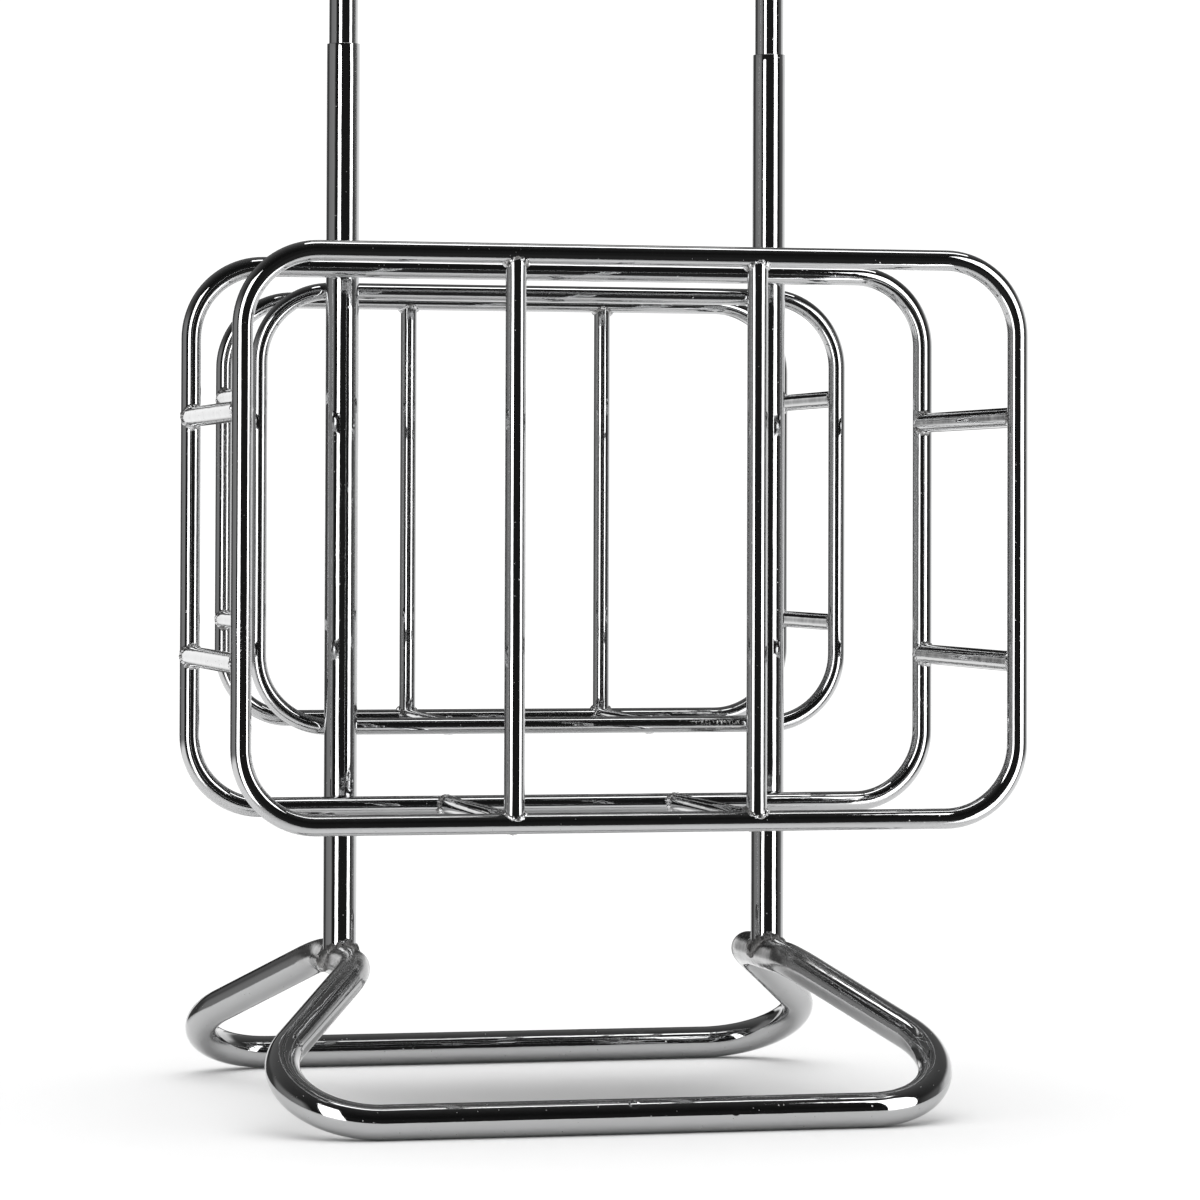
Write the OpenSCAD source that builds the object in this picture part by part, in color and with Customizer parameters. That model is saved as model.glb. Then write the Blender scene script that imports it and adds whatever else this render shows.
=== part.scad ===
// Cabin bag sizer stand of bent chromed tube.
// A main cage for a cabin bag stands in front of two posts and a smaller cage behind them.
// The posts stand on a bent floor loop, and a sign hoop drops into their open tops.
// Units are millimetres, +Z is up, the bags go in from above and the main cage faces -Y.
// The origin is on the floor, under the middle of the overall box.

/* [Posts] */
// Outer diameter of the two posts
post_d = 25.4; // [22:0.1:32]
// Distance between the post axes
post_spacing = 338; // [270:1:410]
// Height of the open post tops above the floor
post_top_z = 807; // [700:1:1000]

/* [Floor loop] */
// Outer diameter of the floor loop's tube
base_d = 25.4; // [20:0.1:32]
// Wall of the floor loop's tube
base_wall = 1.5; // [1:0.1:2.5]
// Distance between the axes of the front and rear floor rails
base_depth = 484; // [400:1:600]
// Distance across the points where the rail and leg lines would meet
base_reach = 599; // [520:1:740]
// Centreline bend radius at the four floor corners
floor_bend_r = 63; // [45:1:70]
// Height of the saddle bars' axes, where the posts stand
saddle_z = 107; // [85:1:130]
// Distance along Y between the two bends of a saddle bar
saddle_length = 140; // [110:1:180]
// Centreline bend radius at the ends of a saddle bar
saddle_bend_r = 54; // [35:1:60]

/* [Main cage] */
// Outer diameter of the main cage's tube
cage_d = 15; // [12:0.5:20]
// Wall of the main cage's tube
cage_wall = 1.2; // [0.8:0.1:2]
// Clear width inside the main cage
cage_w = 562; // [460:1:680]
// Clear depth inside the main cage
cage_depth = 220; // [180:1:270]
// Clear height inside the main cage's frames
cage_h = 394; // [320:1:480]
// Height of the main cage's underside above the floor
cage_bottom_z = 218; // [170:1:260]
// Centreline bend radius of the main cage's corners
cage_bend_r = 55; // [30:1:75]
// Distance between the two upright front bars, and between the two floor bars
front_bar_spacing = 180; // [140:1:220]
// Height between the two side bars on each side
side_bar_spacing = 180; // [140:1:220]

/* [Rear cage] */
// Outer diameter of the rear cage's tube
rear_d = 13; // [10:0.5:18]
// Wall of the rear cage's tube
rear_wall = 1.2; // [0.8:0.1:2]
// Clear width inside the rear cage
rear_w = 447; // [400:1:540]
// Clear depth inside the rear cage
rear_depth = 153; // [120:1:190]
// Clear height inside the rear cage's frames
rear_h = 321; // [260:1:390]
// Height of the rear cage's underside above the floor
rear_bottom_z = 278; // [230:1:320]
// Centreline bend radius of the rear cage's corners
rear_bend_r = 55; // [30:1:75]
// Distance between the two upright rear bars, and between the two floor bars
rear_bar_spacing = 160; // [120:1:200]
// Height between the two rear side bars on each side
rear_side_spacing = 176; // [140:1:215]

/* [Sign hoop] */
// Outer diameter of the hoop's tube
hoop_d = 22.2; // [18:0.1:23]
// Wall of the hoop's tube
hoop_wall = 1.5; // [1:0.1:2.5]
// Radial gap between the hoop's tube and the post's bore
slide_gap = 0.08; // [0.03:0.01:0.1]
// Depth that the hoop's legs go into the posts
hoop_insert = 150; // [100:1:200]
// Height of the hoop's top bar axis above the post tops
hoop_rise = 365; // [340:1:600]
// Centreline bend radius of the hoop's two top corners
hoop_bend_r = 60; // [40:1:80]
// Length of the plug in each post that the hoop stands on
plug_length = 20; // [10:1:40]

/* [Sign] */
// Height of the sign panel
sign_h = 250; // [180:1:320]
// Thickness of the sign panel
sign_t = 4; // [4:0.5:8]
// Distance the sign panel reaches past each post axis
sign_overhang = 31; // [20:1:60]
// Radius of the sign panel's corners
sign_corner_r = 18; // [5:1:19]
// Distance between the hoop's top bar axis and the sign panel's top edge
sign_drop = 30; // [20:1:80]
// Distance of the screws from the sign panel's top and bottom edges
sign_screw_inset = 35; // [25:1:60]
// Shank diameter of the countersunk sign screws
screw_d = 5; // [4:0.5:6]
// Head diameter of the sign screws
screw_head_d = 9.2; // [8:0.1:10]
// Depth of the screw heads below the sign panel's face
screw_sink = 0.1; // [0.05:0.05:0.5]
// Outer diameter of the saddle washers between the sign panel and the hoop
washer_d = 14; // [11:0.5:18]
// Thickness of the saddle washers where they are thinnest
washer_t = 2; // [1:0.5:5]
// Length of screw shank past the inside of the hoop's wall
screw_end = 3; // [1:0.5:6]

/* [Hidden] */
$fn = 96;
post_r = post_d / 2;
base_r = base_d / 2;
cage_r = cage_d / 2;
rear_r = rear_d / 2;
hoop_r = hoop_d / 2;
post_bore_r = hoop_r + slide_gap;
post_x = post_spacing / 2;

// Depth that a rail is notched where it crosses a post, so that the two seat on each other
notch = 0.4;
// Length by which a cutting cylinder runs past what it cuts
over = 1;
// The floor loop's bends are this much fuller than its straight stretches, all round
base_swell = 0.1;
// Length by which a straight stretch runs on inside a fuller bend next to it
lap = 0.5;
// Height of the floor rails' axes, with the bends standing on the floor
rail_z = base_r + base_swell;

// Y of each plane, measured from the post axes
main_back_y = -(post_r + cage_r - notch);
main_front_y = main_back_y - cage_depth - cage_d;
rear_front_y = post_r + rear_r - notch;
rear_back_y = rear_front_y + rear_depth + rear_d;
// Y of the post axes, which puts the origin under the middle of the overall box
reach_front = max(cage_r - main_front_y, base_depth / 2 + rail_z);
reach_back = max(rear_back_y + rear_r, base_depth / 2 + rail_z);
post_y = (reach_front - reach_back) / 2;

// Centrelines of the main cage
main_x = cage_w / 2 + cage_r;
main_low_z = cage_bottom_z + cage_r;
main_high_z = main_low_z + cage_h + cage_d;
main_mid_z = (main_low_z + main_high_z) / 2;

// Centrelines of the rear cage
rear_x = rear_w / 2 + rear_r;
rear_low_z = rear_bottom_z + rear_r;
rear_high_z = rear_low_z + rear_h + rear_d;
rear_mid_z = (rear_low_z + rear_high_z) / 2;

// Sign hoop and sign panel
hoop_low_z = post_top_z - hoop_insert;
hoop_top_z = post_top_z + hoop_rise;
sign_w = post_spacing + 2 * sign_overhang;
sign_top_z = hoop_top_z - sign_drop;
sign_back_y = -hoop_r - washer_t;
sign_screw_z = [sign_top_z - sign_screw_inset, sign_top_z - sign_h + sign_screw_inset];
// Distances in front of the post axes where a screw's 90 degree head begins and ends
head_end = sign_t - sign_back_y - screw_sink;
head_start = head_end - (screw_head_d - screw_d) / 2;

STEEL = [0.80, 0.81, 0.83];

// ---- vectors and bent tubes ----

function unit(v) = v / norm(v);

// Angle that a path turns through at corner b, on the way from a to c
function turn_at(a, b, c) = acos(unit(b - a) * unit(c - b));

// Distance from corner i of a path to where its bend begins, which is 0 at a free end
function bend_reach(path, radii, i) =
    radii[i] == 0 ? 0 : radii[i] * tan(turn_at(path[i - 1], path[i], path[i + 1]) / 2);

// Places its children with local x, y and z along the given directions
module placed(x, y, z, at) {
    multmatrix([
        [x[0], y[0], z[0], at[0]],
        [x[1], y[1], z[1], at[1]],
        [x[2], y[2], z[2], at[2]],
        [0, 0, 0, 1]
    ]) children();
}

module ring_profile(r, bore_r) {
    difference() {
        circle(r = r);
        if (bore_r > 0) circle(r = bore_r);
    }
}

// Straight tube between two points, or a rod where the bore radius is 0
module straight(a, b, r, bore_r = 0) {
    along = unit(b - a);
    side = abs(along[2]) < 0.9 ? unit(cross([0, 0, 1], along)) : unit(cross([0, 1, 0], along));
    placed(side, cross(along, side), along, a)
        linear_extrude(height = norm(b - a))
            ring_profile(r, bore_r);
}

// Bend of centreline radius bend_r at corner b, on the way from a to c
module bend(a, b, c, bend_r, r, bore_r) {
    along = unit(b - a);
    turn = turn_at(a, b, c);
    inward = unit(unit(c - b) - along * cos(turn));
    start = b - along * bend_r * tan(turn / 2);
    placed(-inward, along, cross(along, inward), start + inward * bend_r)
        rotate_extrude(angle = turn)
            translate([bend_r, 0])
                ring_profile(r, bore_r);
}

// One length of tube along a path of points, with a bend of radii[i] at point i
module bent_tube(path, radii, r, wall, swell = 0) {
    last = len(path) - 1;
    run_on = swell > 0 ? lap : 0;
    for (i = [1:last - 1])
        bend(path[i - 1], path[i], path[i + 1], radii[i], r + swell, r - wall - swell);
    for (i = [0:last - 1]) {
        along = unit(path[i + 1] - path[i]);
        start = path[i] + along * (bend_reach(path, radii, i) - (i == 0 ? 0 : run_on));
        end = path[i + 1] - along * (bend_reach(path, radii, i + 1) - (i + 1 == last ? 0 : run_on));
        straight(start, end, r, r - wall);
    }
}

// Closed rounded rectangle of tube in an X-Z plane, whose ends meet in the middle of its lower rail
module tube_frame(half_w, low_z, high_z, y, bend_r, r, wall) {
    path = [
        [0, y, low_z],
        [half_w, y, low_z],
        [half_w, y, high_z],
        [-half_w, y, high_z],
        [-half_w, y, low_z],
        [0, y, low_z]
    ];
    bent_tube(path, [0, bend_r, bend_r, bend_r, bend_r, 0], r, wall);
}

// ---- floor loop ----

// Half of the floor loop: half of each floor rail, two legs and the saddle bar a post stands on
module base_half(side) {
    path = [
        [0, -base_depth / 2, rail_z],
        [side * base_reach / 2, -base_depth / 2, rail_z],
        [side * post_x, -saddle_length / 2, saddle_z],
        [side * post_x, saddle_length / 2, saddle_z],
        [side * base_reach / 2, base_depth / 2, rail_z],
        [0, base_depth / 2, rail_z]
    ];
    radii = [0, floor_bend_r, saddle_bend_r, saddle_bend_r, floor_bend_r, 0];
    color(STEEL)
        translate([0, post_y, 0])
            bent_tube(path, radii, base_r, base_wall, base_swell);
}

module base_left_half() { base_half(-1); }
module base_right_half() { base_half(1); }

// ---- posts ----

// Tube with its foot cut to sit on the saddle bar
module post(side) {
    color(STEEL)
        translate([side * post_x, post_y, 0])
            difference() {
                straight([0, 0, saddle_z], [0, 0, post_top_z], post_r, post_bore_r);
                straight([0, -post_d, saddle_z], [0, post_d, saddle_z], base_r);
            }
}

// Plug fixed in the post's bore, which the hoop's leg stands on
module stop_plug(side) {
    color(STEEL)
        translate([side * post_x, post_y, hoop_low_z - plug_length])
            cylinder(r = post_bore_r, h = plug_length);
}

module left_post() { post(-1); }
module right_post() { post(1); }
module left_stop_plug() { stop_plug(-1); }
module right_stop_plug() { stop_plug(1); }

// ---- main cage ----

// The two posts as solid rods, for notching the rails that cross them
module post_rods() {
    for (side = [-1, 1])
        straight([side * post_x, 0, saddle_z], [side * post_x, 0, post_top_z], post_r);
}

module main_frame(y) {
    tube_frame(main_x, main_low_z, main_high_z, y, cage_bend_r, cage_r, cage_wall);
}

module front_frame() {
    color(STEEL) translate([0, post_y, 0]) main_frame(main_front_y);
}

module middle_frame() {
    color(STEEL)
        translate([0, post_y, 0])
            difference() {
                main_frame(main_back_y);
                post_rods();
            }
}

// Bar between two parallel rails that run along rail_dir through its ends a and b.
// Its children are cut away from it as well.
module bar_between(a, b, rail_dir, r, wall) {
    color(STEEL)
        translate([0, post_y, 0])
            difference() {
                straight(a, b, r, r - wall);
                for (end = [a, b])
                    straight(end - rail_dir * (r + over), end + rail_dir * (r + over), r);
                children();
            }
}

module front_bar(side) {
    x = side * front_bar_spacing / 2;
    bar_between([x, main_front_y, main_low_z], [x, main_front_y, main_high_z], [1, 0, 0], cage_r, cage_wall);
}

module side_bar(side, level) {
    z = main_mid_z + level * side_bar_spacing / 2;
    x = side * main_x;
    bar_between([x, main_front_y, z], [x, main_back_y, z], [0, 0, 1], cage_r, cage_wall);
}

// Floor bar, cut to sit against the foot of the upright front bar as well
module floor_bar(side) {
    x = side * front_bar_spacing / 2;
    bar_between([x, main_front_y, main_low_z], [x, main_back_y, main_low_z], [1, 0, 0], cage_r, cage_wall)
        straight([x, main_front_y, main_low_z], [x, main_front_y, main_high_z], cage_r);
}

module front_bar_left() { front_bar(-1); }
module front_bar_right() { front_bar(1); }
module side_bar_left_upper() { side_bar(-1, 1); }
module side_bar_left_lower() { side_bar(-1, -1); }
module side_bar_right_upper() { side_bar(1, 1); }
module side_bar_right_lower() { side_bar(1, -1); }
module floor_bar_left() { floor_bar(-1); }
module floor_bar_right() { floor_bar(1); }

// ---- rear cage ----

module rear_frame(y) {
    tube_frame(rear_x, rear_low_z, rear_high_z, y, rear_bend_r, rear_r, rear_wall);
}

module rear_cage_front_frame() {
    color(STEEL)
        translate([0, post_y, 0])
            difference() {
                rear_frame(rear_front_y);
                post_rods();
            }
}

module rear_cage_back_frame() {
    color(STEEL) translate([0, post_y, 0]) rear_frame(rear_back_y);
}

module rear_bar(side) {
    x = side * rear_bar_spacing / 2;
    bar_between([x, rear_back_y, rear_low_z], [x, rear_back_y, rear_high_z], [1, 0, 0], rear_r, rear_wall);
}

module rear_side_bar(side, level) {
    z = rear_mid_z + level * rear_side_spacing / 2;
    x = side * rear_x;
    bar_between([x, rear_front_y, z], [x, rear_back_y, z], [0, 0, 1], rear_r, rear_wall);
}

module rear_floor_bar(side) {
    x = side * rear_bar_spacing / 2;
    bar_between([x, rear_front_y, rear_low_z], [x, rear_back_y, rear_low_z], [1, 0, 0], rear_r, rear_wall)
        straight([x, rear_back_y, rear_low_z], [x, rear_back_y, rear_high_z], rear_r);
}

module rear_bar_left() { rear_bar(-1); }
module rear_bar_right() { rear_bar(1); }
module rear_side_bar_left_upper() { rear_side_bar(-1, 1); }
module rear_side_bar_left_lower() { rear_side_bar(-1, -1); }
module rear_side_bar_right_upper() { rear_side_bar(1, 1); }
module rear_side_bar_right_lower() { rear_side_bar(1, -1); }
module rear_floor_bar_left() { rear_floor_bar(-1); }
module rear_floor_bar_right() { rear_floor_bar(1); }

// ---- sign hoop ----

// Places one child at each of the four sign screws, with local z towards the front
module at_sign_screws() {
    for (side = [-1, 1], z = sign_screw_z)
        translate([side * post_x, post_y, z])
            rotate([90, 0, 0])
                children();
}

// Inverted U whose legs stand in the posts, drilled for the sign screws
module sign_hoop() {
    path = [
        [-post_x, post_y, hoop_low_z],
        [-post_x, post_y, hoop_top_z],
        [post_x, post_y, hoop_top_z],
        [post_x, post_y, hoop_low_z]
    ];
    color(STEEL)
        difference() {
            bent_tube(path, [0, hoop_bend_r, hoop_bend_r, 0], hoop_r, hoop_wall);
            at_sign_screws() cylinder(d = screw_d, h = hoop_r + over);
        }
}

// Flat blank panel in front of the hoop's legs
module sign_panel() {
    color([0.95, 0.95, 0.95])
        difference() {
            translate([0, post_y + sign_back_y, sign_top_z - sign_h / 2])
                rotate([90, 0, 0])
                    linear_extrude(height = sign_t)
                        rounded_outline(sign_w, sign_h, sign_corner_r);
            at_sign_screws() {
                cylinder(d = screw_d, h = head_end);
                screw_head();
                translate([0, 0, head_end]) cylinder(d = screw_head_d, h = screw_sink + over);
            }
        }
}

// Countersunk head, which the panel's hole is shaped to as well
module screw_head() {
    translate([0, 0, head_start])
        cylinder(d1 = screw_d, d2 = screw_head_d, h = head_end - head_start);
}

module rounded_outline(w, h, r) {
    square([w - 2 * r, h], center = true);
    square([w, h - 2 * r], center = true);
    for (x = [-1, 1], y = [-1, 1])
        translate([x * (w / 2 - r), y * (h / 2 - r)])
            circle(r = r);
}

// Four washers, flat against the panel and hollowed to sit on the hoop's legs
module sign_washers() {
    color([0.15, 0.15, 0.16])
        difference() {
            at_sign_screws() cylinder(d = washer_d, h = -sign_back_y);
            for (side = [-1, 1])
                straight([side * post_x, post_y, hoop_low_z], [side * post_x, post_y, hoop_top_z], hoop_r);
            at_sign_screws() cylinder(d = screw_d, h = hoop_d);
        }
}

// Four countersunk screws through the panel and the washers into the hoop's wall
module sign_screws() {
    shank_start = hoop_r - hoop_wall - screw_end;
    color([0.70, 0.71, 0.73])
        at_sign_screws() {
            translate([0, 0, shank_start]) cylinder(d = screw_d, h = head_start - shank_start);
            screw_head();
        }
}

base_left_half();
base_right_half();
left_post();
right_post();
left_stop_plug();
right_stop_plug();
front_frame();
middle_frame();
front_bar_left();
front_bar_right();
side_bar_left_upper();
side_bar_left_lower();
side_bar_right_upper();
side_bar_right_lower();
floor_bar_left();
floor_bar_right();
rear_cage_front_frame();
rear_cage_back_frame();
rear_bar_left();
rear_bar_right();
rear_side_bar_left_upper();
rear_side_bar_left_lower();
rear_side_bar_right_upper();
rear_side_bar_right_lower();
rear_floor_bar_left();
rear_floor_bar_right();
sign_hoop();
sign_panel();
sign_washers();
sign_screws();
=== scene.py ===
import math

import bmesh
import bpy
import numpy as np
from mathutils import Matrix, Vector


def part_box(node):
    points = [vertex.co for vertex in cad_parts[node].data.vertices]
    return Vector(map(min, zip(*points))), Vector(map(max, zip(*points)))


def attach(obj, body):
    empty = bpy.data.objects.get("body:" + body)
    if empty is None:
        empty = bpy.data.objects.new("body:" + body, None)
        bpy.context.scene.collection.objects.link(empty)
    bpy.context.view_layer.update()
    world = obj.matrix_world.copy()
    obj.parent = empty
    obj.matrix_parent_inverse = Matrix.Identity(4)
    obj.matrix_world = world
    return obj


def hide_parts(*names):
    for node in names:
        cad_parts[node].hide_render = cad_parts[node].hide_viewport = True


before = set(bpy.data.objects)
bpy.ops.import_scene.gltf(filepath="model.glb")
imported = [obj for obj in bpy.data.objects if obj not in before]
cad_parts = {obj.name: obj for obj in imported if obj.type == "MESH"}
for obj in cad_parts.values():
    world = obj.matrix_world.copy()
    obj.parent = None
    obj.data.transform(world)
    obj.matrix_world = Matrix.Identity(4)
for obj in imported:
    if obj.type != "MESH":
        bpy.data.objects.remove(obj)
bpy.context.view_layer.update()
print("frame loaded:", len(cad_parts), "nodes")

studio = {
    "cameraPlace": (-0.8670, -3.7241, 0.4413),
    "cameraTurn": (91.27, 0.18, -13.65),      # degrees: tilt, roll, heading
    "lens": 148.7,
    "shift": (-0.0046, -0.1559),
    "floorSize": 5.0,
    "floorFront": -0.76,                      # the white floor ends here, and the dark room begins
    "floorFade": (0.35, 1.05),                # and it thins out over this distance from the middle
    "floorWhite": 0.86,
    "skyLow": 0.72,                           # soft white light on the floor, from low down
    "skyHigh": 1.6,                           # and from overhead
    "flagSize": (0.36, 0.24),                 # a card that shades the floor, seen by no lens or metal
    "flagPlace": (0.02, 0.0, 0.17),
    "flagGrey": 0.25,
    "boxBright": 3.6,                         # radiance of the two tall softboxes
    "leftSize": (0.38, 1.5),
    "rightSize": (0.34, 1.5),
    "leftBox": (-0.76, -0.86, 0.40),
    "rightBox": (0.60, -0.66, 0.40),
    "topBright": 3.0,
    "topSize": (1.0, 0.22),
    "topPlace": (0.25, -0.20, 1.50),
    "aimHeight": 0.40,                        # the softboxes face the stand's axis at this height
    "backdrop": 1.1,                          # brightness of the white that the camera sees
}


# One socket that can be used in sums.
class Value:
    def __init__(self, graph, socket):
        self.graph, self.socket = graph, socket

    def maths(self, operation, other=0.0, swap=False):
        pair = [other, self] if swap else [self, other]
        return self.graph.add("ShaderNodeMath", {"operation": operation}, pair)[0]

    def __add__(self, other): return self.maths("ADD", other)
    def __radd__(self, other): return self.maths("ADD", other)
    def __sub__(self, other): return self.maths("SUBTRACT", other)
    def __rsub__(self, other): return self.maths("SUBTRACT", other, True)
    def __mul__(self, other): return self.maths("MULTIPLY", other)
    def __rmul__(self, other): return self.maths("MULTIPLY", other)
    def __truediv__(self, other): return self.maths("DIVIDE", other)
    def __pow__(self, other): return self.maths("POWER", other)
    def above(self, other): return self.maths("GREATER_THAN", other)
    def below(self, other): return self.maths("LESS_THAN", other)


# The node tree of a material or of the world.
class Graph:
    def __init__(self, owner):
        owner.use_nodes = True
        self.tree = owner.node_tree
        self.tree.nodes.clear()

    # One node: its settings first, then the values or links of its sockets.
    def add(self, kind, settings=None, values=None):
        node = self.tree.nodes.new(kind)
        settings = dict(settings or {})
        stops = settings.pop("stops", None)
        for name, value in settings.items():
            setattr(node, name, value)
        if stops:
            ramp = node.color_ramp.elements
            while len(ramp) < len(stops):
                ramp.new(0.5)
            for stop, (place, shade) in zip(ramp, stops):
                stop.position = place
            for stop, (place, shade) in zip(ramp, stops):
                stop.color = (shade, shade, shade, 1)
        pairs = values.items() if isinstance(values, dict) else enumerate(values or [])
        for name, value in pairs:
            if isinstance(value, Value):
                self.tree.links.new(value.socket, node.inputs[name])
            else:
                node.inputs[name].default_value = value
        return [Value(self, socket) for socket in node.outputs]

    def out(self, node, name):
        return Value(self, node[0].socket.node.outputs[name])

    # 0 below low, 1 above high, and an even curve between.
    def smooth(self, value, low, high):
        return self.add("ShaderNodeMapRange", {"interpolation_type": "SMOOTHSTEP"},
                        {"Value": value, "From Min": low, "From Max": high})[0]

    # The colour first * (1 - share) + second * share.
    def mix(self, share, first, second):
        return self.add("ShaderNodeMix", {"data_type": "RGBA"},
                        {"Factor": share, "A": first, "B": second})[2]


# A material, its node tree and the place of each point of its piece.
def newMaterial(name):
    material = bpy.data.materials.new(name)
    graph = Graph(material)
    return material, graph, graph.out(graph.add("ShaderNodeTexCoord"), "Object")


# The material's end: one shader, with a bump of the given depth in metres for a height of 1.
def coat(graph, colour, rough, height, depth, metallic, strength=1.0):
    bump = graph.add("ShaderNodeBump", None, {"Strength": strength, "Distance": depth, "Height": height})
    shader = graph.add("ShaderNodeBsdfPrincipled", None,
                       {"Base Color": colour, "Metallic": metallic, "Roughness": rough, "Normal": bump[0]})
    graph.add("ShaderNodeOutputMaterial", None, {"Surface": shader[0]})


# Smooth noise from 0 to 1, with scale cells to a metre.
def shadeNoise(graph, place, scale, detail=2.0, rough=0.5):
    return graph.add("ShaderNodeTexNoise", None,
                     {"Vector": place, "Scale": scale, "Detail": detail, "Roughness": rough})[0]


# A value as a grey: the same shade in red, green and blue.
def grey(graph, shade):
    return graph.add("ShaderNodeCombineColor", None, [shade, shade, shade])[0]


# Round spots: a share of the cells of a grid of points has one, of the given radius in cells.
def spots(graph, place, scale, share, size):
    cells = graph.add("ShaderNodeTexVoronoi", None, {"Vector": place, "Scale": scale})
    chance = graph.add("ShaderNodeSeparateColor", None, [graph.out(cells, "Color")])
    near = 1 - graph.smooth(graph.out(cells, "Distance"), size * 0.5, size)
    return near * chance[0].below(share)


plateLook = {
    "wornTint": (0.36, 0.355, 0.35),
    "pits": (260.0, 0.16),                    # cells to a metre, and the radius of a pit in cells
    "bigPits": (90.0, 0.07, 0.07),            # and here the share of cells with a pit in between
    "patches": (9.0, 3.0),                    # scale and detail of the noise
    "grit": (700.0, 2.0, 0.7),
    "haze": (24.0, 4.0),
    "slowWaves": (34.0, 2.0),
    "ripple": (320.0, 2.0),
    "wornRough": 0.42,
    "depth": 0.001,
}
chromeLook = {
    **plateLook,
    "tint": (0.555, 0.558, 0.562),
    "polish": 0.035,
    "pitShare": 0.16,
    "waviness": 0.30,
}
loopLook = {
    **plateLook,
    "tint": (0.48, 0.482, 0.485),             # a little greyer than the rest, so the floor it mirrors shows dimmer
    "polish": 0.045,
    "pitShare": 0.24,
    "waviness": 0.32,
    "dents": 0.35,
    "dentSpots": (40.0, 0.10, 0.20),
    "dullAbove": 0.105,                       # height from which the plate is hazy and mottled by heat
    "dullFade": 0.022,
    "dullRough": 0.20,
    "dullTint": (0.40, 0.395, 0.39),
    "mottle": (60.0, 4.0, 0.6),
    "heatScale": (240.0, 3.0, 0.6),
}


# Polished chrome plate: slow waves of the tube, pits, scuffed patches and fine dust. Above the height
# dullAbove the plate is hazy and mottled, as where the steel was heated to bend and weld it.
# Roughness is polish + a little haze + the worn share, and height is waves - pits.
def chromeMaterial(name, look):
    material, graph, place = newMaterial(name)
    pitScale, pitSize = look["pits"]
    pits = spots(graph, place, pitScale, look["pitShare"], pitSize)
    bigPits = spots(graph, place, *look["bigPits"])
    patches = graph.smooth(shadeNoise(graph, place, *look["patches"]), 0.60, 0.72)
    grit = graph.smooth(shadeNoise(graph, place, *look["grit"]), 0.52, 0.66)
    haze = graph.smooth(shadeNoise(graph, place, *look["haze"]), 0.45, 0.8)
    worn = (pits * 0.8 + bigPits).maths("MAXIMUM", patches * grit * 0.55)
    colour = graph.mix(worn * 0.55, (*look["tint"], 1), (*look["wornTint"], 1))
    rough = look["polish"] + haze * 0.03 + worn * look["wornRough"]
    waves = shadeNoise(graph, place, *look["slowWaves"]) * look["waviness"]
    waves = waves + shadeNoise(graph, place, *look["ripple"]) * 0.012
    if "dullAbove" in look:
        z = graph.add("ShaderNodeSeparateXYZ", None, [place])[2]
        mottle = shadeNoise(graph, place, *look["mottle"])
        low, high = look["dullAbove"], look["dullAbove"] + look["dullFade"]
        dull = graph.smooth(z + mottle * 0.03, low, high) * (mottle * 0.8 + 0.5)
        rough = rough + dull * look["dullRough"]
        waves = waves + shadeNoise(graph, place, *look["heatScale"]) * dull * 0.10
        waves = waves - spots(graph, place, *look["dentSpots"]) * look["dents"]
        colour = graph.mix(dull * 0.5, colour, (*look["dullTint"], 1))
    coat(graph, colour, rough, waves - worn * 0.05, look["depth"], 1.0)
    return material


weldLook = {
    "bright": (0.66, 0.66, 0.665),
    "soot": (0.15, 0.145, 0.14),
    "barSoot": 0.46,                          # soot shows where its noise passes this, so lower is darker
    "footSoot": 0.30,
    "sootFade": 0.16,
    "lumps": (330.0, 3.0, 0.6),
    "sootNoise": (150.0, 3.0),
    "depth": 0.0009,
}


# Weld metal under thin plate: bright on the humps, dull and dark in the hollows.
def weldMaterial(name, sootLow, look):
    material, graph, place = newMaterial(name)
    lumps = shadeNoise(graph, place, *look["lumps"])
    soot = graph.smooth(shadeNoise(graph, place, *look["sootNoise"]), sootLow, sootLow + look["sootFade"])
    colour = graph.mix(soot * 0.8, (*look["bright"], 1), (*look["soot"], 1))
    coat(graph, colour, soot * 0.3 + 0.12, lumps, look["depth"], 1.0)
    return material


# A plain material with one noise, which shades it from dark to light, and from smooth to rough.
def grainMaterial(name, look):
    material, graph, place = newMaterial(name)
    if "stretch" in look:
        place = graph.add("ShaderNodeMapping", None, {"Vector": place, "Scale": look["stretch"]})[0]
    grain = shadeNoise(graph, place, *look["noise"])
    colour = graph.mix(grain, (*look["dark"], 1), (*look["light"], 1))
    low, high = look["rough"]
    coat(graph, colour, grain * (high - low) + low, grain, look["depth"], look["metallic"], look["bump"])
    return material


# Fine rings across the plug's axis.
turnedLook = {
    "dark": (0.34, 0.34, 0.35), "light": (0.52, 0.52, 0.53), "rough": (0.28, 0.43), "metallic": 1.0,
    "stretch": (20.0, 20.0, 1500.0), "noise": (1.0, 2.0, 0.5), "depth": 0.0002, "bump": 0.4,
}
# A little scratched all over.
screwLook = {
    "dark": (0.56, 0.565, 0.57), "light": (0.70, 0.70, 0.70), "rough": (0.20, 0.36), "metallic": 1.0,
    "noise": (2600.0, 3.0, 0.7), "depth": 0.0001, "bump": 0.5,
}
# Moulded, with a fine spark-eroded grain.
washerLook = {
    "dark": (0.018, 0.018, 0.019), "light": (0.045, 0.045, 0.046), "rough": (0.42, 0.62), "metallic": 0.0,
    "noise": (1800.0, 2.0, 0.6), "depth": 0.0001, "bump": 0.6,
}
signLook = {
    "paint": (0.80, 0.80, 0.79), "grime": (0.52, 0.51, 0.49), "line": (0.16, 0.17, 0.18),
    "inset": 0.014,                           # of the printed line from the panel's edge
    "lineWidth": 0.0022, "frontSkin": 0.0004,
    "peel": (520.0, 2.0), "peelDepth": 0.0003, "patches": (30.0, 4.0), "grimeWidth": 0.03,
}


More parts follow.
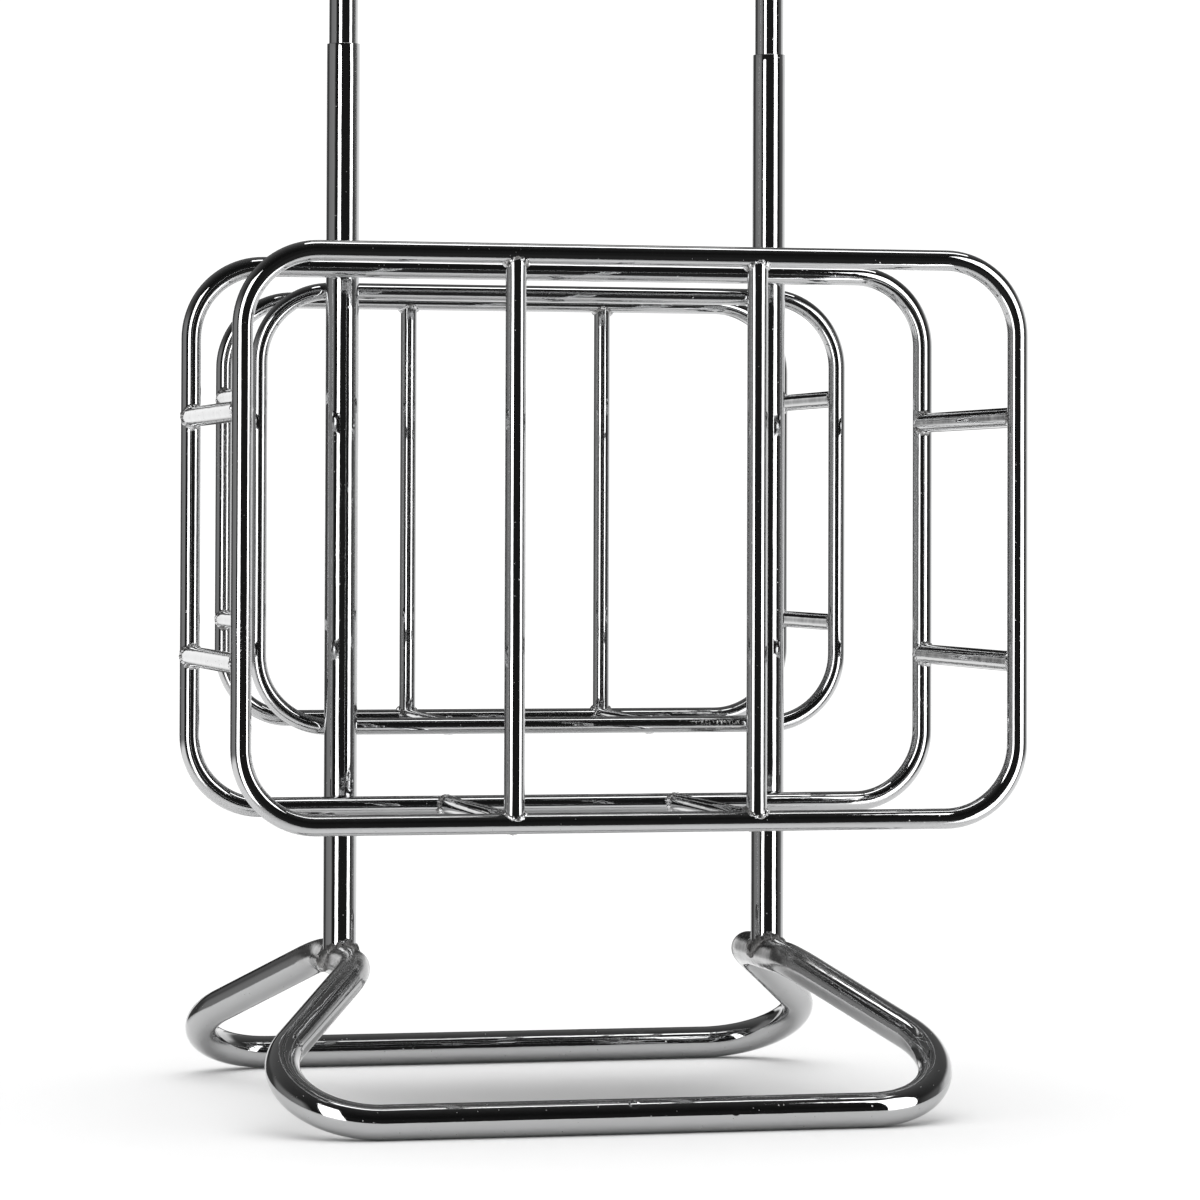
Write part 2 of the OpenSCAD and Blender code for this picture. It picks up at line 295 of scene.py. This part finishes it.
# White powder coat with its orange peel, faint grime at the rim, and a printed line inside the edge,
# which lies where the shorter way to an edge is within half a line's width of inset.
def paintMaterial(look, low, high):
    material, graph, place = newMaterial("sign_powder_coat")
    x, y, z = graph.add("ShaderNodeSeparateXYZ", None, [place])
    middleZ, halfW, halfH = (low.z + high.z) / 2, (high.x - low.x) / 2, (high.z - low.z) / 2
    fromTop = halfH - (z - middleZ).maths("ABSOLUTE")
    inward = (halfW - x.maths("ABSOLUTE")).maths("MINIMUM", fromTop)
    edge = (inward - look["inset"]).maths("ABSOLUTE").below(look["lineWidth"] / 2)
    line = edge * y.below(low.y + look["frontSkin"])      # on the front face alone
    peel = shadeNoise(graph, place, *look["peel"])
    patches = graph.smooth(shadeNoise(graph, place, *look["patches"]), 0.5, 0.8)
    grime = patches * (1 - graph.smooth(inward, 0.0, look["grimeWidth"]))
    clean = graph.mix(grime * 0.35, (*look["paint"], 1), (*look["grime"], 1))
    colour = graph.mix(line, clean, (*look["line"], 1))
    coat(graph, colour, 0.34 + grime * 0.2, peel, look["peelDepth"], 0.0, 0.5)
    return material


chrome = chromeMaterial("chromed_tube", chromeLook)
loopChrome = chromeMaterial("chromed_loop", loopLook)
weldMetal = weldMaterial("plated_weld", weldLook["barSoot"], weldLook)
sootyWeld = weldMaterial("sooty_weld", weldLook["footSoot"], weldLook)
turnedSteel = grainMaterial("turned_steel", turnedLook)
screwSteel = grainMaterial("stainless_screw", screwLook)
blackPlastic = grainMaterial("black_washer", washerLook)
print("materials made")


# Each vector over its own length.
def unit(vectors):
    return vectors / np.linalg.norm(vectors, axis=-1, keepdims=True)


# Points and directions along straight lines joined by arcs.
# Each arc is centre + bendRadius * (sin(turn) * along - cos(turn) * inward), and touches both lines.
def bentPath(corners, radii, bendStep=4.0, straightStep=0.02):
    corners = np.array(corners, float)
    points, directions, begin = [], [], corners[0]
    for i in range(1, len(corners)):
        along = unit(corners[i] - corners[i - 1])
        reach, arc = 0.0, None
        if i < len(corners) - 1 and radii[i] > 0:
            after = unit(corners[i + 1] - corners[i])
            turn = math.acos(float(np.clip(along @ after, -1, 1)))
            inward = unit(after - along * math.cos(turn))
            reach = radii[i] * math.tan(turn / 2)
            angles = np.linspace(0, turn, max(3, int(math.degrees(turn) / bendStep) + 1))[:, None]
            heart = corners[i] - along * reach + inward * radii[i]
            arc = (heart + radii[i] * (np.sin(angles) * along - np.cos(angles) * inward),
                   np.cos(angles) * along + np.sin(angles) * inward)
        end = corners[i] - along * reach
        count = max(2, int(np.linalg.norm(end - begin) / straightStep) + 1)
        shares = np.linspace(0, 1, count)[:, None]
        if points:
            shares = shares[1:]
        points.append(begin + (end - begin) * shares)
        directions.append(np.repeat(along[None], len(shares), 0))
        if arc:
            points.append(arc[0][1:])
            directions.append(arc[1][1:])
            begin = arc[0][-1]
    return np.concatenate(points), np.concatenate(directions)


# A ring of the given radius round each point: point + radius * (cos(a) * side + sin(a) * top).
# slide moves each ring's own points along the tube, as where an end is cut to sit on a rail.
def ringGrid(points, directions, up, radii, sides, slide=None):
    side = unit(np.cross(np.array(up, float), directions))
    top = np.cross(directions, side)
    angles = np.linspace(0, 2 * math.pi, sides, endpoint=False)
    around = np.cos(angles)[None, :, None] * side[:, None] + np.sin(angles)[None, :, None] * top[:, None]
    grid = points[:, None] + np.asarray(radii, float)[:, None, None] * around
    if slide is not None:
        grid = grid + slide[:, :, None] * directions[:, None]
    return grid


# Four-sided faces between neighbouring points of a grid, with the outside to the left of its rows.
def gridFaces(rows, columns, closedRows):
    r, c = np.arange(rows if closedRows else rows - 1), np.arange(columns)
    r, c = (a.ravel() for a in np.meshgrid(r, c, indexing="ij"))
    here, below, right = r * columns, (r + 1) % rows * columns, (c + 1) % columns
    return np.stack([here + c, here + right, below + right, below + c], 1)


# A grid of rings with a pole at each end: the mean of the end ring, repeated, which merging
# makes one point.
def capped(grid):
    first, last = (np.repeat(grid[i].mean(axis=0)[None, None], grid.shape[1], 1) for i in (0, -1))
    grid = np.concatenate([first, grid, last])
    return grid, gridFaces(*grid.shape[:2], False)


tubeLook = {
    "sides": 48,
    "lip": 0.0004,
    "sharp": 50,                              # degrees between faces from which an edge is sharp
    "sink": 0.0003,                           # how far a bar's cut end goes into its rail
    "fill": 0.90,                             # how deep the notch of a joint is cut, before weld fills it
    "tips": 0.45,                             # size of a bar's weld at the notch, as a share of its shoulders
    "lumps": 0.50,
    "beadSides": 10,
    "beadAround": 84,
}


# One object from several grids: each is (points, faces). It sits at the origin, unturned.
def makePiece(name, grids, material, body="stand", stands=()):
    points, faces, count = [], [], 0
    for gridPoints, gridFace in grids:
        flat = gridPoints.reshape(-1, 3)
        points.append(flat)
        faces.append(gridFace + count)
        count += len(flat)
    points, faces = np.concatenate(points), np.concatenate(faces)
    mesh = bpy.data.meshes.new(name)
    mesh.from_pydata(points.tolist(), [], faces.tolist())
    merged = bmesh.new()
    merged.from_mesh(mesh)
    bmesh.ops.remove_doubles(merged, verts=merged.verts, dist=1e-6)
    merged.to_mesh(mesh)
    merged.free()
    mesh.polygons.foreach_set("use_smooth", np.ones(len(mesh.polygons), bool))
    mesh.set_sharp_from_angle(angle=math.radians(tubeLook["sharp"]))
    piece = bpy.data.objects.new(name, mesh)
    bpy.context.scene.collection.objects.link(piece)
    mesh.materials.append(material)
    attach(piece, body)
    if stands:
        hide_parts(*stands)


# A loop of tube with no ends, such as a welded frame whose seam is ground flush.
def closedTube(corners, bend, up, radius):
    points, directions = bentPath(corners, [0] + [bend] * (len(corners) - 2) + [0])
    grid = ringGrid(points[:-1], directions[:-1], up, np.full(len(points) - 1, radius), tubeLook["sides"])
    return grid, gridFaces(*grid.shape[:2], True)


# A tube with a wall and rounded lips, in one closed skin: along the outside, over the far lip,
# back along the bore and over the near lip. A lip is a quarter circle of radius lip at each edge.
def openTube(points, directions, up, radius, bore):
    lip, steps = tubeLook["lip"], np.linspace(0, math.pi / 2, 4)
    reach = np.concatenate([lip * (1 - np.sin(steps)), lip * (1 - np.cos(steps))])[:, None]
    lipSizes = np.concatenate([radius - lip * (1 - np.cos(steps)), bore + lip * (1 - np.sin(steps))])
    far, near = points[-1] - directions[-1] * reach, points[0] + directions[0] * reach[::-1]
    heads = [np.repeat(directions[end][None], len(reach), 0) for end in (-1, 0)]
    way = np.concatenate([points[1:-1], far, points[-2:0:-1], near])
    directions = np.concatenate([directions[1:-1], heads[0], directions[-2:0:-1], heads[1]])
    count = len(points) - 2
    sizes = np.concatenate([np.full(count, radius), lipSizes, np.full(count, bore), lipSizes[::-1]])
    grid = ringGrid(way, directions, up, sizes, tubeLook["sides"])
    return grid, gridFaces(*grid.shape[:2], True)


# A bar whose ends are cut to sit on the rails at its two ends: a point at height h above the plane
# through both axes lies sqrt(railRadius^2 - h^2) from the rail's axis.
def copedBar(start, end, railWay, radius, railRadius):
    start, end, railWay = (np.array(v, float) for v in (start, end, railWay))
    count = max(4, int(np.linalg.norm(end - start) / 0.02))
    points = start + (end - start) * np.linspace(0, 1, count)[:, None]
    directions = np.repeat(unit(end - start)[None], count, 0)
    sides = tubeLook["sides"]
    angles = np.linspace(0, 2 * math.pi, sides, endpoint=False)
    cut = np.sqrt(railRadius ** 2 - (tubeLook["fill"] * radius * np.sin(angles)) ** 2) - tubeLook["sink"]
    slide = np.zeros((count, sides))
    slide[0], slide[-1] = cut, -cut
    side = unit(np.cross(directions[0], np.cross(directions[0], railWay)))
    up = np.cross(directions[0], side)        # so that angle 0 points along the rail
    return capped(ringGrid(points, directions, up, np.full(count, radius), sides, slide))


# A weld bead round the joint of a bar and a rail: a small lumpy ring carried along the line where
# the two tubes meet. Its size is 1 + lumps * a sum of sines of fixed phases, less towards the tips.
def bead(place, barWay, railWay, radius, railRadius, size, seed, lumps, fill=1.0, tips=1.0):
    barWay, railWay = unit(np.array(barWay, float)), unit(np.array(railWay, float))
    across = np.cross(barWay, railWay)
    t = np.linspace(0, 2 * math.pi, tubeLook["beadAround"], endpoint=False)[:, None]
    height = np.sqrt(np.maximum(railRadius ** 2 - (fill * radius * np.sin(t)) ** 2, 0))
    outward = np.cos(t) * railWay + np.sin(t) * across
    line = np.array(place, float) + radius * outward + height * barWay
    normal = unit(outward + unit(np.sin(t) * across * radius + height * barWay))
    side = unit(np.cross(np.roll(line, -1, 0) - np.roll(line, 1, 0), normal))
    phases = np.random.default_rng(seed).uniform(0, 2 * math.pi, 6)
    waves = zip((3, 7, 13, 19, 26, 34), phases)
    swing = sum(np.sin(t * n + p) / (1 + i * 0.4) for i, (n, p) in enumerate(waves))
    swell = (size * (1 + lumps * swing / 2) * (tips + (1 - tips) * np.cos(t) ** 2))[:, None]
    a = np.linspace(0, 2 * math.pi, tubeLook["beadSides"], endpoint=False)[None, :, None]
    grid = line[:, None] + swell * (np.cos(a) * normal[:, None] * 0.8 + np.sin(a) * side[:, None] * 1.25)
    return grid, gridFaces(*grid.shape[:2], True)


# A short straight bead in the notch between two touching tubes, which tapers at both ends:
# its size is sqrt(1 - (2 s - 1)^4) at the share s of its length, with a few small waves.
def seamBead(start, end, normal, size, seed):
    start, end, normal = (np.array(v, float) for v in (start, end, normal))
    along = unit(end - start)
    side = np.cross(along, unit(normal))
    s = np.linspace(0, 1, 26)[:, None]
    phases = np.random.default_rng(seed).uniform(0, 2 * math.pi, 4)
    swing = sum(np.sin(s * n + p) for n, p in zip((9, 17, 29, 43), phases)) / 4
    swell = size * np.sqrt(np.maximum(1 - (2 * s - 1) ** 4, 0.0005)) * (1 + 0.25 * swing)
    a = np.linspace(0, 2 * math.pi, tubeLook["beadSides"], endpoint=False)[None, :, None]
    line = start + (end - start) * s
    return capped(line[:, None] + swell[:, None] * (np.cos(a) * unit(normal) + np.sin(a) * side))


postLow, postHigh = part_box("left_post")
postX = -(postLow.x + postHigh.x) / 2
postY = (postLow.y + postHigh.y) / 2
postR = (postHigh.x - postLow.x) / 2

loop = {
    "radius": 0.0127, "depth": 0.484, "reach": 0.599, "floorBend": 0.063,
    "saddleZ": 0.107, "saddleLength": 0.140, "saddleBend": 0.054, "railZ": 0.0128,
}


# Half of the floor loop: the tube's ring carried from the middle of the front rail, up one leg, along
# the saddle, down the other leg and to the middle of the rear rail.
def makeLoopHalf(name, side, node, size):
    depth, saddle, low, high = size["depth"] / 2, size["saddleLength"] / 2, size["railZ"], size["saddleZ"]
    out, under = side * size["reach"] / 2, side * postX
    path = [(0, -depth, low), (out, -depth, low), (under, -saddle, high),
            (under, saddle, high), (out, depth, low), (0, depth, low)]
    bends = [0, size["floorBend"], size["saddleBend"], size["saddleBend"], size["floorBend"], 0]
    points, directions = bentPath(np.array(path, float) + (0, postY, 0), bends, 3.0, 0.012)
    grid = ringGrid(points, directions, (0, 0, 1), np.full(len(points), size["radius"]), tubeLook["sides"])
    makePiece(name, [capped(grid)], loopChrome, stands=[node])


makeLoopHalf("floor_loop_left", -1, "base_left_half", loop)
makeLoopHalf("floor_loop_right", 1, "base_right_half", loop)
print("floor loop made")


post = {"bore": 0.01118, "sink": 0.0004, "weld": 0.0040, "weldLumps": 0.55, "rings": 50}

for side, word in ((-1, "left"), (1, "right")):
    foot, top = (np.array([side * postX, postY, z]) for z in (loop["saddleZ"], postHigh.z))
    points = foot + (top - foot) * np.linspace(0, 1, post["rings"])[:, None]
    directions = np.repeat(np.array([[0.0, 0.0, 1.0]]), len(points), 0)
    grid, faces = openTube(points, directions, (0, 1, 0), postR, post["bore"])
    # The foot is cut to sit on the saddle: a point at distance x from its axis is sqrt(r^2 - x^2) up.
    x = grid[..., 0] - side * postX
    seat = loop["saddleZ"] + np.sqrt(np.maximum(loop["radius"] ** 2 - x ** 2, 0)) - post["sink"]
    grid[..., 2] = np.maximum(grid[..., 2], seat)
    makePiece(f"{word}_post_tube", [(grid, faces)], chrome, stands=[f"{word}_post"])
    weld = bead(foot, (0, 0, 1), (0, 1, 0), postR, loop["radius"], post["weld"], 40 + side, post["weldLumps"])
    makePiece(f"{word}_post_foot_weld", [weld], sootyWeld)
print("posts made")


# One frame, a rounded rectangle round its node's box. It gives back its centreline's extents:
# half width, low z, high z, y and the tube's radius.
def frameTube(name, node, bend):
    low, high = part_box(node)
    y, radius = (low.y + high.y) / 2, (high.y - low.y) / 2
    halfWidth, lowZ, highZ = (high.x - low.x) / 2 - radius, low.z + radius, high.z - radius
    corners = [(0, y, lowZ), (halfWidth, y, lowZ), (halfWidth, y, highZ), (-halfWidth, y, highZ),
               (-halfWidth, y, lowZ), (0, y, lowZ)]
    makePiece(name, [closedTube(corners, bend, (0, 1, 0), radius)], chrome, stands=[node])
    return halfWidth, lowZ, highZ, y, radius


mainBars = {"bend": 0.055, "front": 0.180, "side": 0.180, "beadSize": 0.0025}
rearBars = {"bend": 0.055, "front": 0.160, "side": 0.176, "beadSize": 0.0021}

mainX, mainLow, mainHigh, frontY, cageR = frameTube("front_frame_tube", "front_frame", mainBars["bend"])
middleY = frameTube("middle_frame_tube", "middle_frame", mainBars["bend"])[3]
rearX, rearLow, rearHigh, backY, rearR = frameTube("rear_cage_back_tube", "rear_cage_back_frame",
                                                   rearBars["bend"])
rearFrontY = frameTube("rear_cage_front_tube", "rear_cage_front_frame", rearBars["bend"])[3]


# One straight bar, named for its node, with its two weld beads.
def makeBar(node, start, end, railWay, radius, beadSize, seed):
    way = np.array(end, float) - np.array(start, float)
    makePiece(node + "_tube", [copedBar(start, end, railWay, radius, radius)], chrome, stands=[node])
    beads = [bead(point, away, railWay, radius, radius, beadSize, number,
                  tubeLook["lumps"], tubeLook["fill"], tubeLook["tips"])
             for point, away, number in ((start, way, seed), (end, -way, seed + 1))]
    makePiece(node + "_tube_welds", beads, weldMetal)


seed = 100
alongX, alongZ = (1, 0, 0), (0, 0, 1)         # the way of the rails that a bar joins
for side, word in ((-1, "left"), (1, "right")):
    size, x = mainBars["beadSize"], side * mainBars["front"] / 2
    makeBar(f"front_bar_{word}", (x, frontY, mainLow), (x, frontY, mainHigh), alongX, cageR, size, seed)
    makeBar(f"floor_bar_{word}", (x, frontY, mainLow), (x, middleY, mainLow), alongX, cageR, size, seed + 2)
    size, x = rearBars["beadSize"], side * rearBars["front"] / 2
    makeBar(f"rear_bar_{word}", (x, backY, rearLow), (x, backY, rearHigh), alongX, rearR, size, seed + 4)
    makeBar(f"rear_floor_bar_{word}", (x, rearFrontY, rearLow), (x, backY, rearLow),
            alongX, rearR, size, seed + 6)
    for level, tier in ((1, "upper"), (-1, "lower")):
        x, z = side * mainX, (mainLow + mainHigh) / 2 + level * mainBars["side"] / 2
        makeBar(f"side_bar_{word}_{tier}", (x, frontY, z), (x, middleY, z),
                alongZ, cageR, mainBars["beadSize"], seed + 8)
        x, z = side * rearX, (rearLow + rearHigh) / 2 + level * rearBars["side"] / 2
        makeBar(f"rear_side_bar_{word}_{tier}", (x, rearFrontY, z), (x, backY, z),
                alongZ, rearR, rearBars["beadSize"], seed + 10)
        seed += 12
print("cages made")

# Short beads in the notches above and below each rail that crosses a post.
crossing = {"half": 0.008, "out": 0.0010, "apart": 0.0052, "size": 0.0020}
crossings = []
for side in (-1, 1):
    for railY, zs in ((middleY, (mainLow, mainHigh)), (rearFrontY, (rearLow, rearHigh))):
        outward = math.copysign(1, railY - postY)
        y = postY + outward * (postR + crossing["out"])
        for z in zs:
            for edge in (-1, 1):
                start, end = ((side * postX + way * crossing["half"], y, z + edge * crossing["apart"])
                              for way in (-1, 1))
                crossings.append(seamBead(start, end, (0, outward, edge), crossing["size"], seed))
                seed += 1
makePiece("post_crossing_welds", crossings, weldMetal)
print("crossing welds made")


# The hoop that carries the sign: an open tube up one side, across and down the other.
hoop = {"radius": 0.0111, "bore": 0.0096, "bend": 0.060}
hoopLow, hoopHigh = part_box("sign_hoop")
hoopTop = hoopHigh.z - hoop["radius"]
corners = [(x, postY, z) for x, z in
           ((-postX, hoopLow.z), (-postX, hoopTop), (postX, hoopTop), (postX, hoopLow.z))]
points, directions = bentPath(corners, [0, hoop["bend"], hoop["bend"], 0], 3.0)
makePiece("sign_hoop_tube", [openTube(points, directions, (0, 1, 0), hoop["radius"], hoop["bore"])],
          chrome, "header", ["sign_hoop"])

screw = {
    "shank": 0.0025, "chamfer": 0.0002, "tip": 0.0005, "around": 96,
    "hexHalf": 0.0015, "hexDepth": 0.0019, "drillDepth": 0.0004, "drillPoint": 0.0002,
}


# One countersunk screw with a six-sided recess, as rings round its axis from the recess's floor to
# the tip. The recess at angle a is hexHalf / cos(a within 30 degrees of its side's middle) wide.
def screwGrid(x, z, faceY, tipY, headR, size):
    a = np.linspace(0, 2 * math.pi, size["around"], endpoint=False)
    hexR = size["hexHalf"] / np.cos((a + math.pi / 6) % (math.pi / 3) - math.pi / 6)
    ring, edge, shank, hexY = np.ones_like(a), size["chamfer"], size["shank"], faceY + size["hexDepth"]
    profile = [(ring * size["drillPoint"], hexY + size["drillDepth"]), (hexR, hexY),
               (hexR, faceY + edge / 2), (hexR + edge / 2, faceY), (ring * (headR - edge), faceY),
               (ring * headR, faceY + edge), (ring * shank, faceY + edge + headR - shank),
               (ring * shank, tipY - size["tip"]), (ring * (shank - size["tip"]), tipY)]
    rings = [np.stack([x - r * np.cos(a), ring * y, z + r * np.sin(a)], 1) for r, y in profile]
    return capped(np.stack(rings))


screwLow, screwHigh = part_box("sign_screws")
headR = screwHigh.x - postX
screws = [screwGrid(x, z, screwLow.y, screwHigh.y, headR, screw)
          for x in (-postX, postX) for z in (screwLow.z + headR, screwHigh.z - headR)]
makePiece("sign_screw_set", screws, screwSteel, "header", ["sign_screws"])

signLow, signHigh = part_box("sign_panel")
paint = paintMaterial(signLook, signLow, signHigh)
for node, material in (("sign_panel", paint), ("sign_washers", blackPlastic),
                       ("left_stop_plug", turnedSteel), ("right_stop_plug", turnedSteel)):
    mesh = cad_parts[node].data
    mesh.materials.clear()
    mesh.materials.append(material)
print("hoop and sign made")


# One staged rectangle from its corners, with its material.
def makeCard(name, corners, material):
    mesh = bpy.data.meshes.new(name)
    mesh.from_pydata(corners, [], [(0, 1, 2, 3)])
    mesh.materials.append(material)
    card = bpy.data.objects.new(name, mesh)
    bpy.context.scene.collection.objects.link(card)
    return card


# A white floor that fades out with the distance from the middle, so that no line shows where it ends.
def makeFloor(look):
    half, front = look["floorSize"] / 2, look["floorFront"]
    material, graph, place = newMaterial("studio_paper")
    shader = graph.add("ShaderNodeBsdfDiffuse", None, {"Color": (*[look["floorWhite"]] * 3, 1)})
    clear = graph.add("ShaderNodeBsdfTransparent")
    y = graph.add("ShaderNodeSeparateXYZ", None, [place])[1]
    away = graph.out(graph.add("ShaderNodeVectorMath", {"operation": "LENGTH"}, [place]), "Value")
    edge = graph.smooth(y, front, front + 0.1) * (1 - graph.smooth(away, *look["floorFade"]))
    both = graph.add("ShaderNodeMixShader", None, {0: edge, 1: clear[0], 2: shader[0]})
    graph.add("ShaderNodeOutputMaterial", None, {"Surface": both[0]})
    corners = [(-half, front, 0), (half, front, 0), (half, half * 2, 0), (-half, half * 2, 0)]
    makeCard("studio_floor", corners, material)


room = {
    # Brightness round the horizon: each pair is a share of a full turn, and the shade there.
    "walls": [
        (0.0, 0.06), (0.01, 0.90), (0.03, 0.80), (0.055, 0.05), (0.14, 0.05), (0.17, 0.19), (0.29, 0.24),
        (0.32, 0.012), (0.66, 0.012), (0.70, 0.07), (0.76, 0.13), (0.80, 0.66), (0.92, 0.90), (0.94, 0.85),
        (0.95, 0.06), (1.0, 0.06)],
    "behind": (0.75, 0.92),                   # where the backdrop is, by y of the way there
    "backdropTop": (0.165, 0.195),            # the backdrop ends low, and the dark studio shows over it
    "unlitTop": (0.33, 0.5),
    "unlit": 0.94,
    "wallTop": (0.22, 0.50),
    "ceiling": (0.15, 0.006),                 # brightness behind, and what is left of it in front
    "floorTop": (0.10, 0.25),
    "litFloor": (-0.45, -0.15),
    "floor": (0.80, 0.02),
    "stripe": (0.06, 0.16),                   # a dark strip of floor straight behind
    "stripeDark": 0.85,
    "mirrorScale": 1.35,                      # brightness of all that the metal mirrors but the softboxes
}


# White round the camera's view and over the floor, and what a dark studio shows to polished metal:
# a bright backdrop behind and to the right, a grey wall on the left, and a dark room in front.
# Each part's share goes from 0 to 1 between two heights or two values of y of the way that is seen.
def makeWorld(look, room):
    world = bpy.data.worlds.new("studio")
    bpy.context.scene.world = world
    graph = Graph(world)
    way = graph.out(graph.add("ShaderNodeTexCoord"), "Generated")
    x, y, z = graph.add("ShaderNodeSeparateXYZ", None, [way])
    turn = graph.add("ShaderNodeMath", {"operation": "ARCTAN2"}, [x, y * -1.0])[0] / (2 * math.pi) + 0.5
    walls = graph.add("ShaderNodeValToRGB", {"stops": room["walls"]}, [turn])[0]
    behind = graph.smooth(y, *room["behind"])
    gap = behind * graph.smooth(z, *room["backdropTop"])
    unlit = behind * (1 - graph.smooth(z, *room["unlitTop"])) * room["unlit"]
    bright, dim = room["ceiling"]
    ceiling = grey(graph, ((y * 0.5 + 0.5) ** 2.0 * bright + dim) * (1 - unlit))
    height = graph.smooth(z, *room["wallTop"]).maths("MAXIMUM", gap)
    stripe = (1 - graph.smooth(x.maths("ABSOLUTE"), *room["stripe"])) * y.above(0.0)
    bright, dim = room["floor"]
    lit = graph.smooth(y, *room["litFloor"]) * bright + dim
    ground = grey(graph, lit * (1 - stripe * room["stripeDark"]))
    under = graph.smooth(z * -1.0, *room["floorTop"])
    mirrored = graph.mix(under, graph.mix(height, walls, ceiling), ground)
    mirrored = graph.add("ShaderNodeVectorMath", {"operation": "SCALE"},
                         {"Vector": mirrored, "Scale": room["mirrorScale"]})[0]
    path = graph.add("ShaderNodeLightPath")
    glow = z.maths("MAXIMUM", 0.0) ** 4.0 * look["skyHigh"] + look["skyLow"]
    sky = graph.mix(graph.out(path, "Is Camera Ray"), grey(graph, glow), (*[look["backdrop"]] * 3, 1))
    colour = graph.mix(graph.out(path, "Is Glossy Ray"), sky, mirrored)
    light = graph.add("ShaderNodeBackground", None, {"Color": colour, "Strength": 1.0})
    graph.add("ShaderNodeOutputWorld", None, {"Surface": light[0]})


# A softbox whose own radiance is bright, which turns its face from place to aim. Its power is
# bright * pi * its area.
def makeLight(name, place, aim, size, bright):
    light = bpy.data.lights.new(name, "AREA")
    light.shape = "RECTANGLE"
    light.size, light.size_y = size
    light.energy = bright * math.pi * size[0] * size[1]
    lamp = bpy.data.objects.new(name, light)
    bpy.context.scene.collection.objects.link(lamp)
    turn = (Vector(place) - Vector(aim)).to_track_quat("Z", "Y").to_matrix().to_4x4()
    lamp.matrix_world = Matrix.Translation(place) @ turn
    lamp.visible_camera = False
    lamp.visible_diffuse = False              # these show in the metal, and the sky lights the floor


# A card over the floor that keeps some of the sky's light off it.
def makeFlag(look):
    (width, depth), (x, y, z) = look["flagSize"], look["flagPlace"]
    material, graph = newMaterial("studio_flag")[:2]
    shader = graph.add("ShaderNodeBsdfDiffuse", None, {"Color": (*[look["flagGrey"]] * 3, 1)})
    graph.add("ShaderNodeOutputMaterial", None, {"Surface": shader[0]})
    corners = [(x + i * width / 2, y + j * depth / 2, z) for i, j in ((-1, -1), (1, -1), (1, 1), (-1, 1))]
    flag = makeCard("studio_flag", corners, material)
    flag.visible_camera = flag.visible_glossy = flag.visible_transmission = False


makeFloor(studio)
makeWorld(studio, room)
makeFlag(studio)
axis = (0, 0, studio["aimHeight"])
under = (*studio["topPlace"][:2], 0)
makeLight("softbox_left", studio["leftBox"], axis, studio["leftSize"], studio["boxBright"])
makeLight("softbox_right", studio["rightBox"], axis, studio["rightSize"], studio["boxBright"])
makeLight("softbox_top", studio["topPlace"], under, studio["topSize"], studio["topBright"])

tilt, roll, heading = (math.radians(v) for v in studio["cameraTurn"])
camera = bpy.data.cameras.new("camera")
camera.sensor_width = 36
camera.lens = studio["lens"]
camera.shift_x, camera.shift_y = studio["shift"]
eye = bpy.data.objects.new("camera", camera)
bpy.context.scene.collection.objects.link(eye)
eye.matrix_world = (Matrix.Translation(studio["cameraPlace"]) @ Matrix.Rotation(heading, 4, "Z")
                    @ Matrix.Rotation(tilt, 4, "X") @ Matrix.Rotation(roll, 4, "Z"))
bpy.context.scene.camera = eye
bpy.context.scene.view_settings.view_transform = "Standard"
print("studio made")
